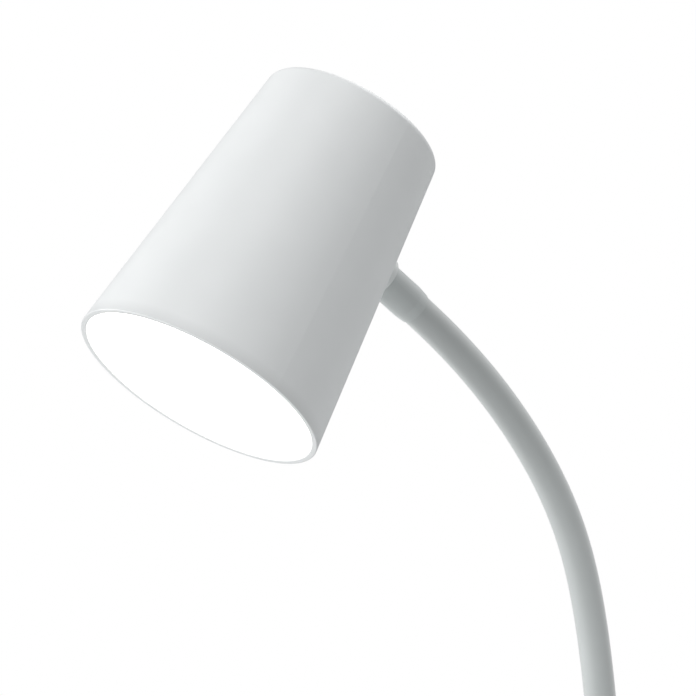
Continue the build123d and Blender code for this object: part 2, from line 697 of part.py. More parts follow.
with BuildPart() as driver_board:
    with BuildSketch(Plane.XY.offset(BOARD_Z)):
        with Locations((0, sum(DRIVER_Y) / 2)):
            RectangleRounded(2 * DRIVER_X, DRIVER_Y[1] - DRIVER_Y[0], DRIVER_CORNER)
        with Locations(*standoff_places()):
            Circle(DRIVER_SCREW_HOLE, mode=Mode.SUBTRACT)
    extrude(amount=DRIVER_THICKNESS)
save(driver_board.part, "driver_board")

with BuildPart() as board_screws:
    with BuildSketch(Plane.XY.offset(DRIVER_TOP)):
        with Locations(*standoff_places()):
            Circle(DRIVER_SHANK)
    extrude(amount=-DRIVER_THICKNESS - STANDOFF_PILOT_DEPTH + 0.5)
    with BuildSketch(Plane.XY.offset(DRIVER_TOP)):
        with Locations(*standoff_places()):
            Circle(DRIVER_HEAD_RADIUS)
    extrude(amount=DRIVER_HEAD_HEIGHT)
    with BuildSketch(Plane.XY.offset(DRIVER_TOP + DRIVER_HEAD_HEIGHT)):
        with Locations(*standoff_places()):
            Rectangle(DRIVER_HEAD_RADIUS, CROSS_WIDTH)
            Rectangle(CROSS_WIDTH, DRIVER_HEAD_RADIUS)
    extrude(amount=-CROSS_DEPTH, mode=Mode.SUBTRACT)
save(board_screws.part, "board_screws")

with BuildPart() as driver_parts:
    with Locations((*INDUCTOR_PLACE, DRIVER_TOP)):
        Cylinder(INDUCTOR_RADIUS, INDUCTOR_HEIGHT, align=BASE)
    with Locations(*[(*place, DRIVER_TOP) for place in CAPACITOR_PLACES]):
        Cylinder(CAPACITOR_RADIUS, CAPACITOR_HEIGHT, align=BASE)
    with Locations((*CHIP_PLACE, DRIVER_TOP)):
        Box(*DRIVER_CHIP, align=BASE)
    with Locations(*[(*place, DRIVER_TOP) for place in SMALL_PLACES]):
        Box(*SMALL_SIZE, align=BASE)
save(driver_parts.part, "driver_parts")

with BuildPart() as tact_switch:
    with Locations((0, BUTTON_Y, DRIVER_TOP)):
        Box(*SWITCH_SIZE, align=BASE)
        Cylinder(PLUNGER_RADIUS, PLUNGER_TOP - DRIVER_TOP, align=BASE)
save(tact_switch.part, "tact_switch")

USB_WIDTH, USB_HEIGHT, USB_SKIN = 8.94, 3.26, 0.3
USB_MOUTH, USB_LENGTH, USB_BACK = 59.6, 8.0, 1.2
TONGUE_WIDTH, TONGUE_HEIGHT, TONGUE_LENGTH = 6.7, 0.7, 5.6

with BuildPart() as usb_socket:
    usb_back = Plane((0, USB_MOUTH - USB_LENGTH, PORT_Z), x_dir=(-1, 0, 0), z_dir=(0, 1, 0))
    with BuildSketch(usb_back):
        SlotOverall(USB_WIDTH, USB_HEIGHT)
    extrude(amount=USB_LENGTH)
    with BuildSketch(usb_back.offset(USB_BACK)):
        SlotOverall(USB_WIDTH - 2 * USB_SKIN, USB_HEIGHT - 2 * USB_SKIN)
    extrude(amount=USB_LENGTH, mode=Mode.SUBTRACT)
    with BuildSketch(usb_back.offset(USB_BACK)):
        Rectangle(TONGUE_WIDTH, TONGUE_HEIGHT)
    extrude(amount=TONGUE_LENGTH)
save(usb_socket.part, "usb_socket")

INDICATOR_FLANGE = 2.0
INDICATOR_FOOT = 13.0

with BuildPart() as indicator:  # a light pipe, from over the board up through the housing
    with Locations((0, INDICATOR_Y, INDICATOR_FOOT)):
        Cylinder(INDICATOR_RADIUS, HOUSING_TOP - INDICATOR_FOOT, align=BASE)
    with Locations((0, INDICATOR_Y, HOUSING_CEILING - 1)):
        Cylinder(INDICATOR_FLANGE, 1, align=BASE)
save(indicator.part, "indicator")

ROOT_LEAD_LEVEL = 13.2
ROOT_LEAD_BEND = 1.6
ROOT_LEAD_Y = 27.0
twin_lead(
    Plane.YZ,
    [
        (ARM_Y, SOCKET_STUB_FOOT + 0.3),
        (ARM_Y, ROOT_LEAD_LEVEL),
        (ROOT_LEAD_Y, ROOT_LEAD_LEVEL),
        (ROOT_LEAD_Y, DRIVER_TOP),
    ],
    ROOT_LEAD_BEND,
    "clip_lead",
)


# ==== The push button ====
BUTTON_TRAVEL = 0.6
BUTTON_TOP = 26.4
BUTTON_FLANGE_RADIUS = 9.2
BUTTON_FLANGE = 1.6
BUTTON_SKIN = 1.6
BUTTON_EDGE = 0.8
BUTTON_DISH = 0.5
BUTTON_STEM_RADIUS = 2.6
BUTTON_STEM_FOOT = PLUNGER_TOP + BUTTON_TRAVEL + RUNNING_CLEARANCE

with BuildPart() as button:
    flange_top = HOUSING_CEILING - RUNNING_CLEARANCE
    with BuildSketch(section_of(Plane(Vector(0, BUTTON_Y, 0)))):
        with BuildLine():
            dish_edge = (BUTTON_RADIUS - 2 * BUTTON_EDGE, BUTTON_TOP)
            dish_middle = (0, BUTTON_TOP - BUTTON_DISH)
            Polyline(
                dish_middle,
                (0, BUTTON_STEM_FOOT),
                (BUTTON_STEM_RADIUS, BUTTON_STEM_FOOT),
                (BUTTON_STEM_RADIUS, BUTTON_TOP - BUTTON_SKIN - BUTTON_DISH),
                (BUTTON_RADIUS - BUTTON_SKIN, BUTTON_TOP - BUTTON_SKIN - BUTTON_DISH),
                (BUTTON_RADIUS - BUTTON_SKIN, flange_top - BUTTON_FLANGE),
                (BUTTON_FLANGE_RADIUS, flange_top - BUTTON_FLANGE),
                (BUTTON_FLANGE_RADIUS, flange_top),
                (BUTTON_RADIUS, flange_top),
                (BUTTON_RADIUS, BUTTON_TOP - BUTTON_EDGE),
                (BUTTON_RADIUS - BUTTON_EDGE, BUTTON_TOP),
                dish_edge,
            )
            TangentArc(dish_middle, dish_edge, tangent=(1, 0))
        make_face()
    revolve(axis=Axis((0, BUTTON_Y, 0), (0, 0, 1)))
save(button.part, "button")


# ==== The jaw, its pin and its spring ====
JAW_TOP = -PAD_GAP - PAD_THICKNESS + PAD_RECESS
JAW_THICKNESS = 4.2
JAW_TIP_THICKNESS = 3.2
HANDLE_ANGLE = 24.0
HANDLE_OFFSET = 5.1  # from the pin's axis to the handle's inner face
HANDLE_THICKNESS = 3.6
HANDLE_RIBS, HANDLE_RIB_PITCH, HANDLE_RIB_RADIUS = 5, 4.0, 1.0
HANDLE_RIB_LENGTH = 30.0
JAW_FILLET = 1.2
EAR_RADIUS = 4.9
EAR_INNER, EAR_OUTER = 7.0, 11.7
LUG_RECESS_RADIUS = 7.8
LUG_RECESS_OUTER = 18.6
SPRING_WIRE = 1.3
SPRING_RADIUS = 4.4
SPRING_PITCH = 1.25
SPRING_COILS = 5
SPRING_POCKET_RADIUS = SPRING_RADIUS + SPRING_WIRE / 2 + 0.4
SPRING_LEG = 18.0
SPRING_LEG_RADIUS = 0.62
PIN_HEAD_RADIUS = 3.2
PIN_HEAD = 1.3
PIN_TAIL = 1.9
PIN_GROOVE_RADIUS = 1.5
CLIP_RING_RADIUS = 3.3
CLIP_RING = 0.7
CLIP_RING_MOUTH = 2.2

ALONG_HANDLE = Vector(0, cos(radians(HANDLE_ANGLE)), -sin(radians(HANDLE_ANGLE)))
OFF_HANDLE = Vector(0, -sin(radians(HANDLE_ANGLE)), -cos(radians(HANDLE_ANGLE)))
PIN_CENTRE = Vector(0, PIN_Y, PIN_Z)


def handle_point(offset_from_pin, y):
    """The (y, z) point on a line beside the handle's direction, at this distance from the pin."""
    start = PIN_CENTRE + OFF_HANDLE * offset_from_pin
    return y, start.Z + ALONG_HANDLE.Z / ALONG_HANDLE.Y * (y - start.Y)


def handle_y_at(offset_from_pin, z):
    """Where such a line passes a height."""
    start = PIN_CENTRE + OFF_HANDLE * offset_from_pin
    return start.Y + ALONG_HANDLE.Y / ALONG_HANDLE.Z * (z - start.Z)


with BuildPart() as jaw_plan:
    with BuildSketch(clip_plane(HOUSING_FOOT)):
        RectangleRounded(CLIP_WIDTH, CLIP_LENGTH, CLIP_CORNER)
    extrude(amount=-CLIP_LENGTH)

with BuildPart() as lower_jaw:
    outer_offset = HANDLE_OFFSET + HANDLE_THICKNESS
    with BuildSketch(Plane.YZ.offset(-CLIP_WIDTH / 2)):
        with BuildLine():
            Polyline(
                (CLIP_FRONT - 1, JAW_TOP),
                (handle_y_at(HANDLE_OFFSET, JAW_TOP), JAW_TOP),
                handle_point(HANDLE_OFFSET, CLIP_REAR + 1),
                handle_point(outer_offset, CLIP_REAR + 1),
                (handle_y_at(outer_offset, JAW_TOP - JAW_THICKNESS), JAW_TOP - JAW_THICKNESS),
                (0, JAW_TOP - JAW_THICKNESS),
                (CLIP_FRONT - 1, JAW_TOP - JAW_TIP_THICKNESS),
                close=True,
            )
        make_face()
    extrude(amount=CLIP_WIDTH)
    add(jaw_plan.part, mode=Mode.INTERSECT)
    underside = lower_jaw.faces().filter_by(lambda face: face.normal_at().Z < -0.5)
    fillet(underside.edges().filter_by(lambda edge: edge.length < CLIP_WIDTH - 1), JAW_FILLET)
    with BuildSketch(Plane.YZ):
        for rib in range(HANDLE_RIBS):
            with Locations(handle_point(outer_offset, CLIP_REAR - (rib + 1) * HANDLE_RIB_PITCH)):
                Circle(HANDLE_RIB_RADIUS)
    extrude(amount=HANDLE_RIB_LENGTH / 2, both=True)
    with BuildSketch(Plane.XY.offset(JAW_TOP)):
        with Locations((0, PAD_MIDDLE)):
            RectangleRounded(PAD_WIDTH, PAD_LENGTH, PAD_CORNER)
    extrude(amount=-PAD_RECESS, mode=Mode.SUBTRACT)
    for side in (-1, 1):
        ear_face = EAR_INNER if side > 0 else -EAR_OUTER
        with BuildSketch(Plane.YZ.offset(ear_face)):
            with Locations((PIN_Y, PIN_Z)):
                Circle(EAR_RADIUS)
                Rectangle(
                    2 * EAR_RADIUS,
                    HANDLE_OFFSET + HANDLE_THICKNESS / 2,
                    align=(Align.CENTER, Align.MAX),
                )
        extrude(amount=EAR_OUTER - EAR_INNER)
        recess_face = EAR_OUTER if side > 0 else -LUG_RECESS_OUTER
        with BuildSketch(Plane.YZ.offset(recess_face)):
            with Locations((PIN_Y, PIN_Z)):
                Circle(LUG_RECESS_RADIUS)
        extrude(amount=LUG_RECESS_OUTER - EAR_OUTER, mode=Mode.SUBTRACT)
    with BuildSketch(Plane.YZ):
        with Locations((PIN_Y, PIN_Z)):
            Circle(SPRING_POCKET_RADIUS)
    extrude(amount=EAR_INNER, both=True, mode=Mode.SUBTRACT)
    with BuildSketch(Plane.YZ):
        with Locations((PIN_Y, PIN_Z)):
            Circle(PIN_RADIUS + RUNNING_CLEARANCE)
    extrude(amount=CLIP_WIDTH, both=True, mode=Mode.SUBTRACT)
save(lower_jaw.part, "lower_jaw")

with BuildPart() as hinge_pin:
    with BuildSketch(Plane.YZ.offset(-LUG_OUTER)):
        with Locations((PIN_Y, PIN_Z)):
            Circle(PIN_RADIUS)
    extrude(amount=2 * LUG_OUTER + PIN_TAIL)
    with BuildSketch(Plane.YZ.offset(-LUG_OUTER)):
        with Locations((PIN_Y, PIN_Z)):
            Circle(PIN_HEAD_RADIUS)
    extrude(amount=-PIN_HEAD)
    with BuildSketch(Plane.YZ.offset(LUG_OUTER + RUNNING_CLEARANCE)):
        with Locations((PIN_Y, PIN_Z)):
            Circle(PIN_RADIUS + 1)
            Circle(PIN_GROOVE_RADIUS, mode=Mode.SUBTRACT)
    extrude(amount=CLIP_RING + RUNNING_CLEARANCE, mode=Mode.SUBTRACT)
save(hinge_pin.part, "hinge_pin")

with BuildPart() as pin_clip:
    with BuildSketch(Plane.YZ.offset(LUG_OUTER + RUNNING_CLEARANCE)):
        with Locations((PIN_Y, PIN_Z)):
            Circle(CLIP_RING_RADIUS)
            Circle(PIN_GROOVE_RADIUS, mode=Mode.SUBTRACT)
            Rectangle(
                CLIP_RING_MOUTH,
                2 * CLIP_RING_RADIUS,
                align=(Align.CENTER, Align.MAX),
                mode=Mode.SUBTRACT,
            )
    extrude(amount=CLIP_RING)
save(pin_clip.part, "pin_clip")

COIL_WIDTH = SPRING_PITCH * (SPRING_COILS - 1)
OVER_PIN = Vector(-COIL_WIDTH / 2, PIN_Y, PIN_Z + SPRING_RADIUS)
UNDER_PIN = PIN_CENTRE + OFF_HANDLE * SPRING_RADIUS + Vector(COIL_WIDTH / 2, 0, 0)

with BuildPart() as jaw_spring:  # close wound: each coil presses on the next
    with BuildSketch(Plane((0, PIN_Y, PIN_Z), x_dir=(1, 0, 0), z_dir=(0, -1, 0))):
        with Locations((0, SPRING_RADIUS)):
            with GridLocations(SPRING_PITCH, 1, SPRING_COILS, 1):
                Circle(SPRING_WIRE / 2)
    revolve(axis=Axis(PIN_CENTRE, (1, 0, 0)))
    for leg_start, direction in ((OVER_PIN, Vector(0, 1, 0)), (UNDER_PIN, ALONG_HANDLE)):
        with BuildSketch(Plane(leg_start, z_dir=direction)):
            Circle(SPRING_LEG_RADIUS)
        extrude(amount=SPRING_LEG)
save(jaw_spring.part, "jaw_spring")
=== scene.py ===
import json
import math

import bmesh
import bpy
import numpy as np
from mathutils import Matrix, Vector


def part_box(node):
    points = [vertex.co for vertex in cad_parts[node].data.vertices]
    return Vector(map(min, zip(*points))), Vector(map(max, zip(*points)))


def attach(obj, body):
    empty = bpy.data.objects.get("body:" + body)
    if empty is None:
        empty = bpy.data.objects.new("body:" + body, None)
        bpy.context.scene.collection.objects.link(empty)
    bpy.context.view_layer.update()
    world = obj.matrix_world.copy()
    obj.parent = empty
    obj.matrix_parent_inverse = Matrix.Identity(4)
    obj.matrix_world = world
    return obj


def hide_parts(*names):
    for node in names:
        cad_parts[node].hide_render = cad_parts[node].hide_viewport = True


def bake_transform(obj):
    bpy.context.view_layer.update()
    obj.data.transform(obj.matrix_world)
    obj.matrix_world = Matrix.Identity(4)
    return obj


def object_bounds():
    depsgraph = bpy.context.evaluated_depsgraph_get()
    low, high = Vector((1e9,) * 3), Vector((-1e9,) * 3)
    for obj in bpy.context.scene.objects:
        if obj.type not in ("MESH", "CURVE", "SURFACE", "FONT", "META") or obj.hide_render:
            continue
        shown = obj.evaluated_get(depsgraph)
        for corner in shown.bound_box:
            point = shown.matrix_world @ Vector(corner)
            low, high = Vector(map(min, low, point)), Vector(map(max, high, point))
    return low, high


# A clip-on reading lamp: a conical shade with a disc of light in its mouth, on a flexible arm that
# rises from a sprung clip. The CAD parts are dressed in procedural materials. What bends is made
# here: the arm's soft sleeve and the clip's spring. So are the ribs of the clip's grip pads.
# Everything is in metres, in the row frame: +Z up, the arm leans toward -Y, X = 0 is the middle.

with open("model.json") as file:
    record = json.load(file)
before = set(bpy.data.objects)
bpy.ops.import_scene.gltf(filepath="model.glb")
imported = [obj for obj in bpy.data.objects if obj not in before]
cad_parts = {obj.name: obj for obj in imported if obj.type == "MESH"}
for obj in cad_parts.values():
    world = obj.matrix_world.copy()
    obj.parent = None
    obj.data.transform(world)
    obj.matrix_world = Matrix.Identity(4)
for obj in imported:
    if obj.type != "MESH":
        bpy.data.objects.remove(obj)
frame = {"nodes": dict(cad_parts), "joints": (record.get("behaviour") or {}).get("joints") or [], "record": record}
cad_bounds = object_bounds()

MM = 0.001
ACROSS = Vector((1, 0, 0))
ALONG = Vector((0, 1, 0))
UP = Vector((0, 0, 1))
JOINTS = {joint["name"]: joint for joint in frame["joints"]}
ARM_JOINTS = [JOINTS[f"arm_bend_{number}"] for number in range(1, 9)]
SWIVEL = Vector(JOINTS["head_swivel"]["pos_m"])
OUTWARD = Vector(JOINTS["head_swivel"]["axis"])  # from the shade's axis out along the arm
SHADE_AXIS = ACROSS.cross(OUTWARD)  # from the mouth up to the crown
SWIVEL_HEIGHT = 58.8 * MM
MOUTH = SWIVEL - SHADE_AXIS * SWIVEL_HEIGHT  # the middle of the rim's circle


# ---- Meshes ----
MADE_CREASE = 35  # degrees past which an edge of a piece made here stays sharp
CAD_CREASE = 30  # the same for a CAD part


def new_piece(name, vertices, faces):
    """A mesh object of these vertices and faces, smooth but for its creases."""
    mesh = bpy.data.meshes.new(name)
    mesh.from_pydata([tuple(v) for v in vertices], [], faces)
    mesh.validate()
    piece = bpy.data.objects.new(name, mesh)
    bpy.context.scene.collection.objects.link(piece)
    shade_smooth(piece, MADE_CREASE)
    return piece


def shade_smooth(piece, crease):
    """Smooth shading, with the edges sharper than this angle in degrees kept sharp."""
    work = bmesh.new()
    work.from_mesh(piece.data)
    bmesh.ops.recalc_face_normals(work, faces=work.faces)
    for face in work.faces:
        face.smooth = True
    for edge in work.edges:
        edge.smooth = edge.calc_face_angle(0) < math.radians(crease)
    work.to_mesh(piece.data)
    work.free()


def ring(centre, side, other, radius, count):
    """Points of a circle about a centre, in the plane of two unit vectors."""
    turns = [2 * math.pi * i / count for i in range(count)]
    return [centre + (side * math.cos(t) + other * math.sin(t)) * radius for t in turns]


def bridge(first, second, count):
    """The quads between two rings, which start at these vertex numbers."""
    following = [(i + 1) % count for i in range(count)]
    return [(first + i, first + j, second + j, second + i) for i, j in enumerate(following)]


def hollow_tube(name, stations, radius, bore, count=48):
    """A closed tube with a bore along stations of (centre, side, other side)."""
    vertices, faces = [], []
    for station in stations:
        vertices += ring(*station, radius, count)
    for station in stations:
        vertices += ring(*station, bore, count)
    inside = len(stations) * count
    for i in range(len(stations) - 1):
        faces += bridge(i * count, (i + 1) * count, count)
        faces += bridge(inside + (i + 1) * count, inside + i * count, count)
    last = (len(stations) - 1) * count
    faces += bridge(inside, 0, count) + bridge(last, inside + last, count)
    return new_piece(name, vertices, faces)


CAP_ANGLES = (70, 45, 20)  # where the rings of a wire's rounded end lie, up from its rim


def solid_wire(name, stations, radius, count=16):
    """A closed round wire along stations of (centre, side, other side), with rounded ends."""
    vertices, faces = [], []
    cap = [math.radians(a) for a in CAP_ANGLES]
    centre, side, other = stations[0]
    out = -side.cross(other) * radius
    for a in cap:
        vertices += ring(centre + out * math.sin(a), side, other, radius * math.cos(a), count)
    for station in stations:
        vertices += ring(*station, radius, count)
    centre, side, other = stations[-1]
    out = side.cross(other) * radius
    for a in reversed(cap):
        vertices += ring(centre + out * math.sin(a), side, other, radius * math.cos(a), count)
    rings = len(stations) + 2 * len(cap)
    for i in range(rings - 1):
        faces += bridge(i * count, (i + 1) * count, count)
    faces.append(tuple(reversed(range(count))))
    faces.append(tuple(range((rings - 1) * count, rings * count)))
    return new_piece(name, vertices, faces)


# ---- Materials ----
NOISE_LOW, NOISE_HIGH = 0.35, 0.65  # the range that holds nearly all of a noise texture's values
COAT_ROUGHNESS = 0.25
# The lampshade's rim face gets painted shade: a darker grey that stands in for the lesser light falling on it.
RIM_SHADOW_FADE = (0.3 * MM, 0.5 * MM)  # heights over the rim between which its painted shade gives way to the plain paint
RIM_SHADOW_SHARE = 0.88
GLOW_CENTRE = MOUTH + SHADE_AXIS * 6 * MM
GLOW_FADE = (18 * MM, 34 * MM)  # distances from that centre between which the glow turns warmer


def new_material(name):
    """A new material, its node tree and its Principled shader."""
    material = bpy.data.materials.new(name)
    material.use_nodes = True
    tree = material.node_tree
    shader = tree.nodes["Principled BSDF"]
    return material, tree, shader


def object_place(tree):
    """The point's place on the object, in metres."""
    return tree.nodes.new("ShaderNodeTexCoord").outputs["Object"]


def noise(tree, scale, detail=4.0, stretch=None):
    """A noise texture in object space, whose scale is in features per metre."""
    place = object_place(tree)
    texture = tree.nodes.new("ShaderNodeTexNoise")
    texture.inputs["Scale"].default_value = scale
    texture.inputs["Detail"].default_value = detail
    if stretch:
        mapping = tree.nodes.new("ShaderNodeMapping")
        mapping.inputs["Scale"].default_value = stretch
        tree.links.new(place, mapping.inputs["Vector"])
        tree.links.new(mapping.outputs["Vector"], texture.inputs["Vector"])
    else:
        tree.links.new(place, texture.inputs["Vector"])
    return texture.outputs["Fac"]


def spread(tree, value, low, high):
    """Maps a noise texture's values to a range of numbers."""
    node = tree.nodes.new("ShaderNodeMapRange")
    node.inputs["From Min"].default_value = NOISE_LOW
    node.inputs["From Max"].default_value = NOISE_HIGH
    node.inputs["To Min"].default_value = low
    node.inputs["To Max"].default_value = high
    tree.links.new(value, node.inputs["Value"])
    return node.outputs["Result"]


def tint(tree, value, first, second, start=NOISE_LOW, stop=NOISE_HIGH):
    """Blends from one colour to another as a value goes from start to stop."""
    ramp = tree.nodes.new("ShaderNodeValToRGB")
    ramp.color_ramp.elements[0].position = start
    ramp.color_ramp.elements[1].position = stop
    ramp.color_ramp.elements[0].color = (*first, 1)
    ramp.color_ramp.elements[1].color = (*second, 1)
    tree.links.new(value, ramp.inputs["Fac"])
    return ramp.outputs["Color"]


def bump(tree, shader, value, depth):
    """Raises the surface by a texture, to a depth in metres."""
    node = tree.nodes.new("ShaderNodeBump")
    node.inputs["Strength"].default_value = 1.0
    node.inputs["Distance"].default_value = depth
    tree.links.new(value, node.inputs["Height"])
    tree.links.new(node.outputs["Normal"], shader.inputs["Normal"])


def moulded(name, light, dark, roughness, grain, depth, sheen=0.0, coat=0.0):
    """Plastic or rubber: a faint mottle, a fine grain in the surface, and uneven roughness."""
    material, tree, shader = new_material(name)
    colour = tint(tree, noise(tree, 45, 5), dark, light)
    tree.links.new(colour, shader.inputs["Base Color"])
    rough = spread(tree, noise(tree, 160, 6), roughness - 0.04, roughness + 0.05)
    tree.links.new(rough, shader.inputs["Roughness"])
    bump(tree, shader, noise(tree, grain, 3), depth)
    shader.inputs["Sheen Weight"].default_value = sheen
    shader.inputs["Coat Weight"].default_value = coat
    shader.inputs["Coat Roughness"].default_value = COAT_ROUGHNESS
    return material


def paint_shadow_on_rim(material, share):
    """Paints shade on the lampshade's rim: darkens its face, up to the start of the wall, to this share of the
    paint.
    """
    tree = material.node_tree
    paint = tree.nodes["Principled BSDF"].inputs["Base Color"]
    height = tree.nodes.new("ShaderNodeVectorMath")
    height.operation = "DOT_PRODUCT"
    height.inputs[1].default_value = SHADE_AXIS
    tree.links.new(object_place(tree), height.inputs[0])
    start, stop = [MOUTH.dot(SHADE_AXIS) + reach for reach in RIM_SHADOW_FADE]
    # The grey of the painted shade on the rim.
    shadow_grey = (share, share, share)
    rim_shadow = tint(tree, height.outputs["Value"], shadow_grey, (1, 1, 1), start, stop)
    mix = tree.nodes.new("ShaderNodeMix")
    mix.data_type = "RGBA"
    mix.blend_type = "MULTIPLY"
    mix.inputs["Factor"].default_value = 1.0
    first, second = [socket for socket in mix.inputs if socket.type == "RGBA"]
    result = [socket for socket in mix.outputs if socket.type == "RGBA"][0]
    tree.links.new(paint.links[0].from_socket, first)
    tree.links.new(rim_shadow, second)
    tree.links.new(result, paint)
    return material


def metal(name, light, dark, roughness, stretch, depth=2e-6):
    """Metal with fine machining lines along the directions that the stretch leaves long."""
    material, tree, shader = new_material(name)
    lines = noise(tree, 900, 6, stretch)
    tree.links.new(tint(tree, lines, dark, light), shader.inputs["Base Color"])
    rough = spread(tree, lines, roughness - 0.07, roughness + 0.09)
    tree.links.new(rough, shader.inputs["Roughness"])
    bump(tree, shader, lines, depth)
    shader.inputs["Metallic"].default_value = 1.0
    return material


def circuit(name, mask, copper):
    """A circuit board: solder mask over faint tracks."""
    material, tree, shader = new_material(name)
    tracks = tree.nodes.new("ShaderNodeTexBrick")
    tracks.inputs["Scale"].default_value = 260
    tracks.inputs["Mortar Size"].default_value = 0.06
    tracks.inputs["Color1"].default_value = (*mask, 1)
    tracks.inputs["Color2"].default_value = (*[c * 0.85 for c in mask], 1)
    tracks.inputs["Mortar"].default_value = (*copper, 1)
    tree.links.new(object_place(tree), tracks.inputs["Vector"])
    tree.links.new(tracks.outputs["Color"], shader.inputs["Base Color"])
    bump(tree, shader, tracks.outputs["Fac"], 2e-5)
    rough = spread(tree, noise(tree, 300, 3), 0.28, 0.4)
    tree.links.new(rough, shader.inputs["Roughness"])
    return material


def lit_diffuser(name, middle, edge, strength):
    """Opal plastic lit from behind: brightest over the chips, a little dimmer and warmer outside."""
    material, tree, shader = new_material(name)
    offset = tree.nodes.new("ShaderNodeVectorMath")
    offset.operation = "DISTANCE"
    offset.inputs[1].default_value = GLOW_CENTRE
    tree.links.new(object_place(tree), offset.inputs[0])
    glow = tint(tree, offset.outputs["Value"], middle, edge, *GLOW_FADE)
    tree.links.new(glow, shader.inputs["Emission Color"])
    shader.inputs["Emission Strength"].default_value = strength
    frost = noise(tree, 2600, 3)
    colour = tint(tree, frost, (0.9, 0.89, 0.86), (0.96, 0.95, 0.93))
    tree.links.new(colour, shader.inputs["Base Color"])
    bump(tree, shader, frost, 4e-6)
    rough = spread(tree, noise(tree, 200, 4), 0.45, 0.6)
    tree.links.new(rough, shader.inputs["Roughness"])
    return material


def clear_pipe(name):
    """A clear light pipe, with a faint haze in it."""
    material, tree, shader = new_material(name)
    haze = noise(tree, 900, 4)
    colour = tint(tree, haze, (0.82, 0.88, 0.88), (0.95, 0.97, 0.97))
    tree.links.new(colour, shader.inputs["Base Color"])
    rough = spread(tree, haze, 0.08, 0.2)
    tree.links.new(rough, shader.inputs["Roughness"])
    shader.inputs["Transmission Weight"].default_value = 0.7
    shader.inputs["IOR"].default_value = 1.49
    return material


SLOT_MATERIALS = {
    # The lampshade's satin white, with painted shade on its rim.
    "shade_white": paint_shadow_on_rim(
        moulded("satin_white_shade", (0.80, 0.815, 0.815), (0.785, 0.80, 0.80), 0.42, 2200, 3e-6),
        RIM_SHADOW_SHARE,
    ),
    "collar_white": moulded(
        "collar_plastic", (0.74, 0.76, 0.755), (0.72, 0.74, 0.735), 0.45, 2500, 4e-6
    ),
    "ferrule_white": moulded(
        "ferrule_plastic", (0.53, 0.56, 0.555), (0.51, 0.54, 0.535), 0.55, 2000, 3e-6, sheen=0.8
    ),
    "clip_white": moulded(
        "textured_white_plastic", (0.79, 0.80, 0.80), (0.77, 0.78, 0.78), 0.5, 2400, 1.2e-5
    ),
    "button_grey": moulded(
        "soft_touch_button", (0.60, 0.63, 0.63), (0.57, 0.60, 0.60), 0.62, 2800, 8e-6, sheen=0.1
    ),
    "pad_rubber": moulded(
        "grip_rubber", (0.30, 0.315, 0.32), (0.26, 0.275, 0.28), 0.8, 1800, 2e-5, sheen=0.15
    ),
    "sleeve_silicone": moulded(
        "silicone_sleeve", (0.49, 0.515, 0.51), (0.47, 0.495, 0.49), 0.6, 1800, 3e-6, sheen=1.0
    ),
    "wire_sleeve": moulded("wire_insulation", (0.70, 0.70, 0.69), (0.64, 0.64, 0.63), 0.5, 1500, 5e-6),
    "reflector_white": moulded(
        "reflector_plastic", (0.92, 0.92, 0.91), (0.90, 0.90, 0.89), 0.4, 2000, 3e-6
    ),
    "component_black": moulded(
        "epoxy_black", (0.035, 0.035, 0.04), (0.02, 0.02, 0.022), 0.45, 2500, 8e-6
    ),
    "led_phosphor": moulded(
        "phosphor_resin", (0.95, 0.78, 0.25), (0.90, 0.70, 0.18), 0.35, 1500, 4e-6, coat=0.3
    ),
    "circuit_green": circuit("green_circuit_board", (0.02, 0.17, 0.06), (0.06, 0.27, 0.11)),
    "led_board_white": circuit("white_circuit_board", (0.82, 0.83, 0.82), (0.70, 0.70, 0.66)),
    "steel": metal("brushed_steel", (0.66, 0.66, 0.67), (0.50, 0.50, 0.51), 0.3, (0.15, 1, 1)),
    "core_aluminium": metal("gooseneck_core", (0.60, 0.60, 0.61), (0.44, 0.44, 0.45), 0.38, (1, 1, 0.2)),
    "sink_aluminium": metal("cast_heat_sink", (0.72, 0.73, 0.74), (0.60, 0.61, 0.62), 0.42, None, 6e-6),
    "diffuser_opal": lit_diffuser("opal_diffuser", (1.0, 0.985, 0.96), (1.0, 0.97, 0.92), 3.0),
    "light_pipe": clear_pipe("clear_light_pipe"),
}


def dress(piece, slot):
    """Gives a piece the material of a slot of the record."""
    piece.data.materials.clear()
    piece.data.materials.append(SLOT_MATERIALS[slot])


for subpart in frame["record"]["subparts"]:
    node = frame["nodes"][subpart["node"]]
    dress(node, subpart["material_slot"])
    for polygon in node.data.polygons:
        polygon.material_index = 0


# ---- The arm's line: a smooth curve through the joints, which are evenly spaced along it ----
ARM_FOOT = Vector((0, ARM_JOINTS[0]["pos_m"][1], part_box("arm_socket")[1].z))
FERRULE_FOOT = 45.6 * MM  # from the shade's axis out to where the sleeve goes into the ferrule
ARM_TIP = SWIVEL + OUTWARD * FERRULE_FOOT
JOINT_PITCH = 34 * MM
JOINT_COUNT = len(ARM_JOINTS)
KNOTS = [0.0] + [(i + 0.5) * JOINT_PITCH for i in range(JOINT_COUNT)] + [JOINT_COUNT * JOINT_PITCH]
KNOT_POINTS = [ARM_FOOT] + [Vector(joint["pos_m"]) for joint in ARM_JOINTS] + [ARM_TIP]


def knot_slopes():
    """The slopes at the knots of the cubic spline through them, given the slopes at both ends."""
    count = len(KNOTS)
    steps = [KNOTS[i + 1] - KNOTS[i] for i in range(count - 1)]
    matrix, right = np.zeros((count, count)), np.zeros((count, 3))
    matrix[0, 0] = matrix[-1, -1] = 1
    right[0], right[-1] = UP, -OUTWARD
    for i in range(1, count - 1):
        before, after = steps[i - 1], steps[i]
        matrix[i, i - 1 : i + 2] = after, 2 * (before + after), before
        rise_before = (KNOT_POINTS[i] - KNOT_POINTS[i - 1]) / before
        rise_after = (KNOT_POINTS[i + 1] - KNOT_POINTS[i]) / after
        right[i] = 3 * (after * rise_before + before * rise_after)
    return [Vector(slope) for slope in np.linalg.solve(matrix, right)]


KNOT_SLOPES = knot_slopes()


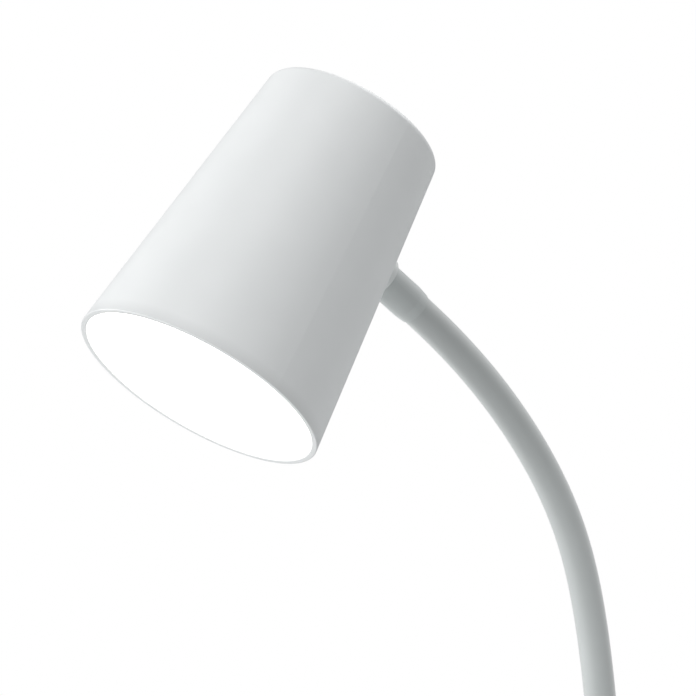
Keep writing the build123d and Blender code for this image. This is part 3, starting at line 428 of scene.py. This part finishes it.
def arm_station(distance):
    """(centre, side, other side) of the arm at a distance up from the socket."""
    if distance <= 0:
        point, slope = ARM_FOOT + UP * distance, UP
    elif distance >= KNOTS[-1]:
        point, slope = ARM_TIP - OUTWARD * (distance - KNOTS[-1]), -OUTWARD
    else:
        i = max(n for n, knot in enumerate(KNOTS[:-1]) if knot <= distance)
        step = KNOTS[i + 1] - KNOTS[i]
        t = (distance - KNOTS[i]) / step
        start, end = KNOT_POINTS[i], KNOT_POINTS[i + 1]
        out, into = KNOT_SLOPES[i] * step, KNOT_SLOPES[i + 1] * step
        point = (
            start * (2 * t**3 - 3 * t**2 + 1)
            + out * (t**3 - 2 * t**2 + t)
            + end * (3 * t**2 - 2 * t**3)
            + into * (t**3 - t**2)
        )
        slope = (
            (start - end) * (6 * t**2 - 6 * t)
            + out * (3 * t**2 - 4 * t + 1)
            + into * (3 * t**2 - 2 * t)
        )
    along = slope.normalized()
    return point, ACROSS, along.cross(ACROSS)


# ---- The silicone sleeve: a tube over each joint, from the middle of one stretch to the next ----
SLEEVE_RADIUS = 4.5 * MM
SLEEVE_BORE = 3.8 * MM
SLEEVE_TUCK = 6 * MM
SLEEVE_STATION = 1 * MM  # the length of the sleeve between two rings of its mesh


def sleeve_over_joint(number):
    """The sleeve from half a pitch below a joint to half a pitch above it, curved along the arm's line through
    that joint.
    """
    foot, head = (number - 1) * JOINT_PITCH, number * JOINT_PITCH
    low = -SLEEVE_TUCK if number == 1 else foot
    high = head + SLEEVE_TUCK if number == JOINT_COUNT else head
    count = round((high - low) / SLEEVE_STATION)
    stations = [arm_station(low + (high - low) * i / count) for i in range(count + 1)]
    tube = hollow_tube(f"arm_sleeve_{number}", stations, SLEEVE_RADIUS, SLEEVE_BORE)
    dress(tube, "sleeve_silicone")
    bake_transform(tube)
    return tube


for number in range(1, JOINT_COUNT + 1):
    tube = sleeve_over_joint(number)
    if number == 1:
        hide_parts("sleeve_0", "sleeve_1")
    else:
        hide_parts(f"sleeve_{number}")


# ---- The clip's torsion spring, which winds as the jaw opens ----
PIN = Vector(JOINTS["jaw_open"]["pos_m"])
COIL_RADIUS = 4.4 * MM
WIRE_RADIUS = 0.6 * MM
COIL_PITCH = 1.32 * MM
COIL_LEG = 17.5 * MM
HANDLE_ANGLE = math.radians(24)
WHOLE_COILS = 4
COIL_TURNS = WHOLE_COILS + (math.pi - HANDLE_ANGLE) / (2 * math.pi)
COIL_WIDTH = COIL_PITCH * COIL_TURNS
WIRE_STATION = math.radians(10)


def coil_station(turn):
    """The wire's (centre, side, other side) at an angle around the pin, starting over it."""
    radial = Vector((0, -math.sin(turn), math.cos(turn)))
    centre = PIN + radial * COIL_RADIUS
    centre.x += COIL_PITCH * turn / (2 * math.pi) - COIL_WIDTH / 2
    heading = Vector((0, -math.cos(turn), -math.sin(turn)))
    return centre, radial, heading.cross(radial)


def straight_stations(station, direction, length, count=8):
    """Stations along a straight leg that carries on from a coil's end."""
    centre, side, other = station
    return [(centre + direction * length * i / count, side, other) for i in range(1, count + 1)]


def make_spring():
    """The spring's wire: a leg under the housing, the coil, and a leg along the handle."""
    whole_turn = COIL_TURNS * 2 * math.pi
    count = round(whole_turn / WIRE_STATION)
    coil = [coil_station(whole_turn * i / count) for i in range(count + 1)]
    first_leg = straight_stations(coil[0], ALONG, COIL_LEG)
    handle = Vector((0, math.cos(HANDLE_ANGLE), -math.sin(HANDLE_ANGLE)))
    last_leg = straight_stations(coil[-1], handle, COIL_LEG)
    wire = solid_wire("torsion_spring", first_leg[::-1] + coil + last_leg, WIRE_RADIUS)
    dress(wire, "steel")
    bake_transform(wire)
    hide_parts("jaw_spring")


make_spring()


# ---- The grip pads: rounded slabs of rubber with ribs across them ----
PAD_CORNER = 6 * MM
PAD_EDGE = 0.5 * MM
GROOVE_RADIUS = 0.85 * MM
GROOVE_PITCH = 4 * MM
GROOVE_COUNT = 7
GROOVE_SIDES = 20


def rounded_outline(low, high, corner, steps=8):
    """Points around a rectangle with rounded corners, anticlockwise from the low corner's end."""
    points = []
    corners = (
        (low.x + corner, low.y + corner, 180),
        (high.x - corner, low.y + corner, 270),
        (high.x - corner, high.y - corner, 0),
        (low.x + corner, high.y - corner, 90),
    )
    for x, y, first in corners:
        for i in range(steps + 1):
            turn = math.radians(first + 90 * i / steps)
            points.append((x + corner * math.cos(turn), y + corner * math.sin(turn)))
    return points


def use_modifier(piece, modifier):
    """Applies a modifier to a piece's mesh."""
    bpy.context.view_layer.update()
    graph = bpy.context.evaluated_depsgraph_get()
    mesh = bpy.data.meshes.new_from_object(piece.evaluated_get(graph))
    piece.modifiers.remove(modifier)
    piece.data = mesh


def ribbed_pad(name, node, grip_z, body):
    """A pad in the place of a CAD pad, with grooves cut across its grip face."""
    low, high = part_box(node)
    outline = rounded_outline(low, high, PAD_CORNER)
    count = len(outline)
    vertices = [(x, y, z) for z in (low.z, high.z) for x, y in outline]
    faces = bridge(0, count, count)
    faces += [tuple(reversed(range(count))), tuple(range(count, 2 * count))]
    pad = new_piece(name, vertices, faces)
    edge = pad.modifiers.new("edge", "BEVEL")
    edge.width = PAD_EDGE
    edge.segments = 3
    edge.limit_method = "ANGLE"
    use_modifier(pad, edge)
    middle = (low + high) / 2
    reach = (high.x - low.x) / 2 + 1 * MM
    cutters, cutter_faces = [], []
    for i in range(GROOVE_COUNT):
        y = middle.y + (i - (GROOVE_COUNT - 1) / 2) * GROOVE_PITCH
        first = len(cutters)
        for x in (-reach, reach):
            cutters += ring(Vector((x, y, grip_z)), ALONG, UP, GROOVE_RADIUS, GROOVE_SIDES)
        second = first + GROOVE_SIDES
        cutter_faces += bridge(first, second, GROOVE_SIDES)
        cutter_faces.append(tuple(reversed(range(first, second))))
        cutter_faces.append(tuple(range(second, second + GROOVE_SIDES)))
    cutter = new_piece("groove_cutter", cutters, cutter_faces)
    grooves = pad.modifiers.new("grooves", "BOOLEAN")
    grooves.operation = "DIFFERENCE"
    grooves.object = cutter
    use_modifier(pad, grooves)
    bpy.data.objects.remove(cutter)
    shade_smooth(pad, MADE_CREASE)
    dress(pad, "pad_rubber")
    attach(pad, body)
    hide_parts(node)


ribbed_pad("ribbed_upper_pad", "upper_pad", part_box("upper_pad")[0].z, "clip")
ribbed_pad("ribbed_lower_pad", "lower_pad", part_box("lower_pad")[1].z, "jaw")


# ---- Smooth shading on the turned and swept CAD parts ----
for node in frame["nodes"].values():
    shade_smooth(node, CAD_CREASE)


# ---- The studio: a pale floor, a white surround, soft lights and the camera ----
VIEW_AZIMUTH = math.radians(53.1)
VIEW_BACK = Vector((math.sin(VIEW_AZIMUTH), -math.cos(VIEW_AZIMUTH), 0))
VIEW_RIGHT = Vector((math.cos(VIEW_AZIMUTH), math.sin(VIEW_AZIMUTH), 0))
CAMERA_OFFSET = VIEW_BACK * 984.7 * MM + VIEW_RIGHT * 39.0 * MM + UP * 10.5 * MM  # from the mouth
CAMERA_LENS = 195.8
CAMERA_SENSOR = 36
CLIP_RANGE = (0.05, 20)  # the nearest and farthest that the camera sees
LIGHT_TARGET = MOUTH + SHADE_AXIS * 45 * MM
LIGHT_DISTANCE = 1.3
FLOOR_DROP = 1 * MM  # below the lamp's lowest point
FLOOR_RADIUS = 1.4
FLOOR_SIDES = 96
FLOOR_FADE = (0.25, 1.2)  # the radii between which the floor goes from solid to clear


def make_floor():
    """A pale round floor under the lamp, far below the main view, that fades out toward its rim."""
    centre = Vector((0, 0, cad_bounds[0][2] - FLOOR_DROP))
    rim = ring(centre, ACROSS, ALONG, FLOOR_RADIUS, FLOOR_SIDES)
    floor = new_piece("floor", rim, [tuple(range(FLOOR_SIDES))])
    material, tree, shader = new_material("pale_floor")
    colour = tint(tree, noise(tree, 12, 4), (0.80, 0.81, 0.81), (0.83, 0.835, 0.835))
    tree.links.new(colour, shader.inputs["Base Color"])
    shader.inputs["Roughness"].default_value = 0.8
    reach = tree.nodes.new("ShaderNodeVectorMath")
    reach.operation = "LENGTH"
    fade = tree.nodes.new("ShaderNodeMapRange")
    fade.interpolation_type = "SMOOTHERSTEP"
    fade.inputs["From Min"].default_value = FLOOR_FADE[0]
    fade.inputs["From Max"].default_value = FLOOR_FADE[1]
    clear = tree.nodes.new("ShaderNodeBsdfTransparent")
    mix = tree.nodes.new("ShaderNodeMixShader")
    tree.links.new(object_place(tree), reach.inputs[0])
    tree.links.new(reach.outputs["Value"], fade.inputs["Value"])
    tree.links.new(fade.outputs["Result"], mix.inputs["Fac"])
    tree.links.new(shader.outputs[0], mix.inputs[1])
    tree.links.new(clear.outputs[0], mix.inputs[2])
    tree.links.new(mix.outputs[0], tree.nodes["Material Output"].inputs["Surface"])
    floor.data.materials.append(material)


def make_world():
    """White where the camera sees it, dimmer as a source of light."""
    world = bpy.data.worlds.new("studio")
    world.use_nodes = True
    bpy.context.scene.world = world
    tree = world.node_tree
    light = tree.nodes["Background"]
    light.inputs["Color"].default_value = (0.97, 0.985, 1.0, 1)
    light.inputs["Strength"].default_value = 0.3
    seen = tree.nodes.new("ShaderNodeBackground")
    seen.inputs["Color"].default_value = (1, 1, 1, 1)
    seen.inputs["Strength"].default_value = 1.0
    path = tree.nodes.new("ShaderNodeLightPath")
    mix = tree.nodes.new("ShaderNodeMixShader")
    tree.links.new(path.outputs["Is Camera Ray"], mix.inputs["Fac"])
    tree.links.new(light.outputs[0], mix.inputs[1])
    tree.links.new(seen.outputs[0], mix.inputs[2])
    tree.links.new(mix.outputs[0], tree.nodes["World Output"].inputs["Surface"])


def area_light(name, around, above, size, power):
    """A square soft light, aimed at the shade from so many degrees right of the camera and up."""
    turn, rise = math.radians(around), math.radians(above)
    level = VIEW_RIGHT * math.sin(turn) + VIEW_BACK * math.cos(turn)
    toward = level * math.cos(rise) + UP * math.sin(rise)
    light = bpy.data.lights.new(name, "AREA")
    light.size = size
    light.energy = power
    lamp = bpy.data.objects.new(name, light)
    lamp.location = LIGHT_TARGET + toward * LIGHT_DISTANCE
    lamp.visible_camera = False
    lamp.rotation_mode = "QUATERNION"
    lamp.rotation_quaternion = (-toward).to_track_quat("-Z", "Y")
    bpy.context.scene.collection.objects.link(lamp)


def make_camera():
    """A level camera a metre from the shade's mouth."""
    camera = bpy.data.cameras.new("camera")
    camera.lens = CAMERA_LENS
    camera.sensor_width = CAMERA_SENSOR
    camera.clip_start = CLIP_RANGE[0]
    camera.clip_end = CLIP_RANGE[1]
    holder = bpy.data.objects.new("camera", camera)
    holder.location = MOUTH + CAMERA_OFFSET
    holder.rotation_mode = "QUATERNION"
    holder.rotation_quaternion = (-VIEW_BACK).to_track_quat("-Z", "Y")
    bpy.context.scene.collection.objects.link(holder)
    bpy.context.scene.camera = holder


make_floor()
make_world()
area_light("key", -44, 10, 0.8, 9.2)
area_light("low_left", -104, 4, 0.4, 8.0)
area_light("top", 0, 75, 0.8, 4.6)
area_light("right_back", 115, 45, 0.8, 6.4)
area_light("right_rim", 150, 45, 0.8, 3.5)
make_camera()
bpy.context.scene.view_settings.view_transform = "Standard"
